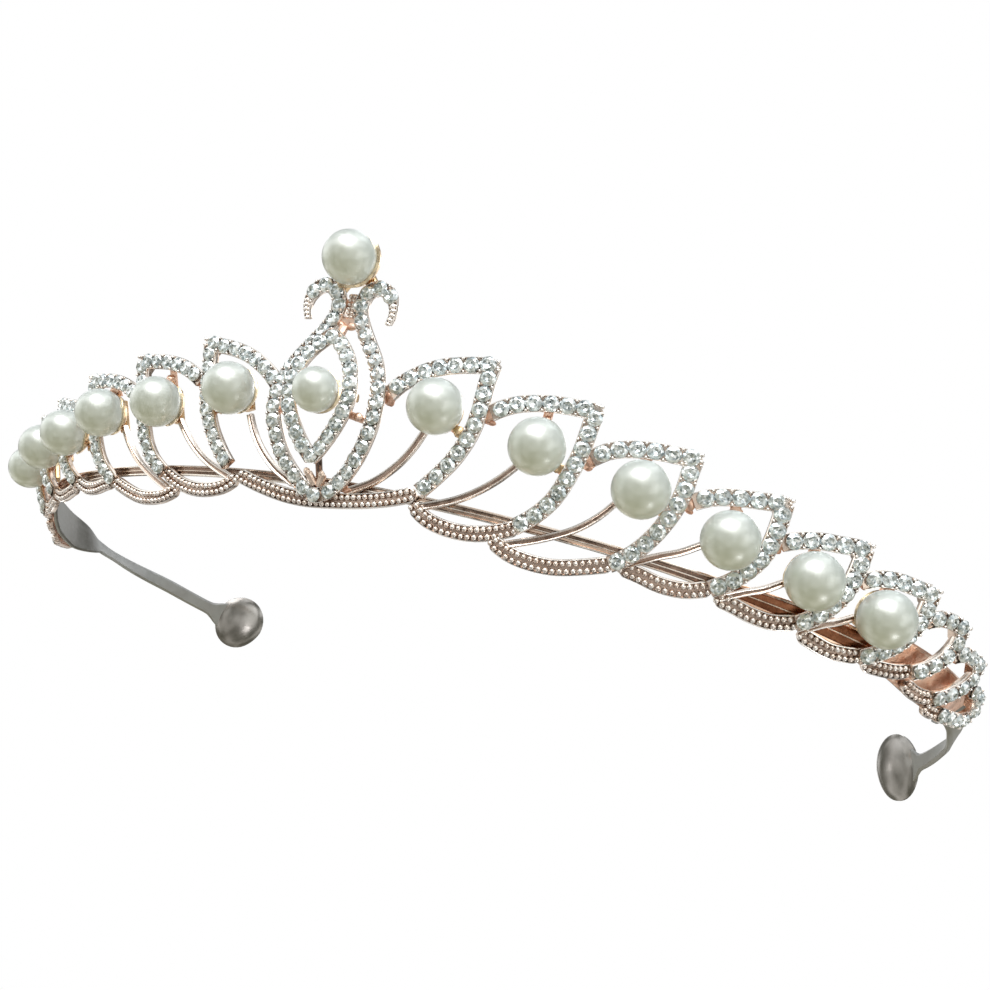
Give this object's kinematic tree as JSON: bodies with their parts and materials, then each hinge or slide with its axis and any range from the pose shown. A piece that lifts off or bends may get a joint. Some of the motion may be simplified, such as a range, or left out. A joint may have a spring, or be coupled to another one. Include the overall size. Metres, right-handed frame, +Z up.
{
  "type": "bridal tiara",
  "caption": "Half-crown bridal tiara: leaf-shaped castings set with clear stones and pearls, on a curved band with two side arms and pads that grip the head.",
  "frame": {"origin": "centre of the bounding box in X and Y, at the level of the surface that the tiara stands on", "axes": "+X across the head from one side arm to the other, -Y towards the convex front, +Z up from the foot line to the finial pearl"},
  "size_m": [0.181, 0.12, 0.0405],
  "materials": {
    "cast_rose_gold": "rose-gold plated casting, polished high spots and a darker tone in the recesses",
    "strip_rose_gold": "rose-gold plated strip, polished",
    "base_metal": "bare grey metal, satin",
    "crystal": "clear faceted glass with a foiled back",
    "pearl": "pearl lacquer, soft gloss"
  },
  "bodies": {
    "root": {"centre_base_edge": "cast_rose_gold", "centre_frame": "cast_rose_gold", "centre_stones_left": "crystal", "centre_stones_right": "crystal", "finial_cup": "cast_rose_gold", "headband_strip": "strip_rose_gold", "leaf_frame_left_1": "cast_rose_gold", "leaf_frame_left_2": "cast_rose_gold", "leaf_frame_left_3": "cast_rose_gold", "leaf_frame_left_4": "cast_rose_gold", "leaf_frame_left_5": "cast_rose_gold", "leaf_frame_left_6": "cast_rose_gold", "leaf_frame_left_7": "cast_rose_gold", "leaf_frame_left_8": "cast_rose_gold", "leaf_frame_left_9": "cast_rose_gold", "leaf_frame_right_1": "cast_rose_gold", "leaf_frame_right_2": "cast_rose_gold", "leaf_frame_right_3": "cast_rose_gold", "leaf_frame_right_4": "cast_rose_gold", "leaf_frame_right_5": "cast_rose_gold", "leaf_frame_right_6": "cast_rose_gold", "leaf_frame_right_7": "cast_rose_gold", "leaf_frame_right_8": "cast_rose_gold", "leaf_frame_right_9": "cast_rose_gold", "marquise_frame": "cast_rose_gold", "marquise_stones": "crystal", "pearl_centre": "pearl", "pearl_finial": "pearl", "pearl_left_1": "pearl", "pearl_left_2": "pearl", "pearl_left_3": "pearl", "pearl_left_4": "pearl", "pearl_left_5": "pearl", "pearl_left_6": "pearl", "pearl_right_1": "pearl", "pearl_right_2": "pearl", "pearl_right_3": "pearl", "pearl_right_4": "pearl", "pearl_right_5": "pearl", "pearl_right_6": "pearl", "side_arm_left": "base_metal", "side_arm_right": "base_metal", "stone_row_left_1": "crystal", "stone_row_left_2": "crystal", "stone_row_left_3": "crystal", "stone_row_left_4": "crystal", "stone_row_left_5": "crystal", "stone_row_left_6": "crystal", "stone_row_left_7": "crystal", "stone_row_left_8": "crystal", "stone_row_left_9": "crystal", "stone_row_right_1": "crystal", "stone_row_right_2": "crystal", "stone_row_right_3": "crystal", "stone_row_right_4": "crystal", "stone_row_right_5": "crystal", "stone_row_right_6": "crystal", "stone_row_right_7": "crystal", "stone_row_right_8": "crystal", "stone_row_right_9": "crystal"}
  },
  "joints": []
}
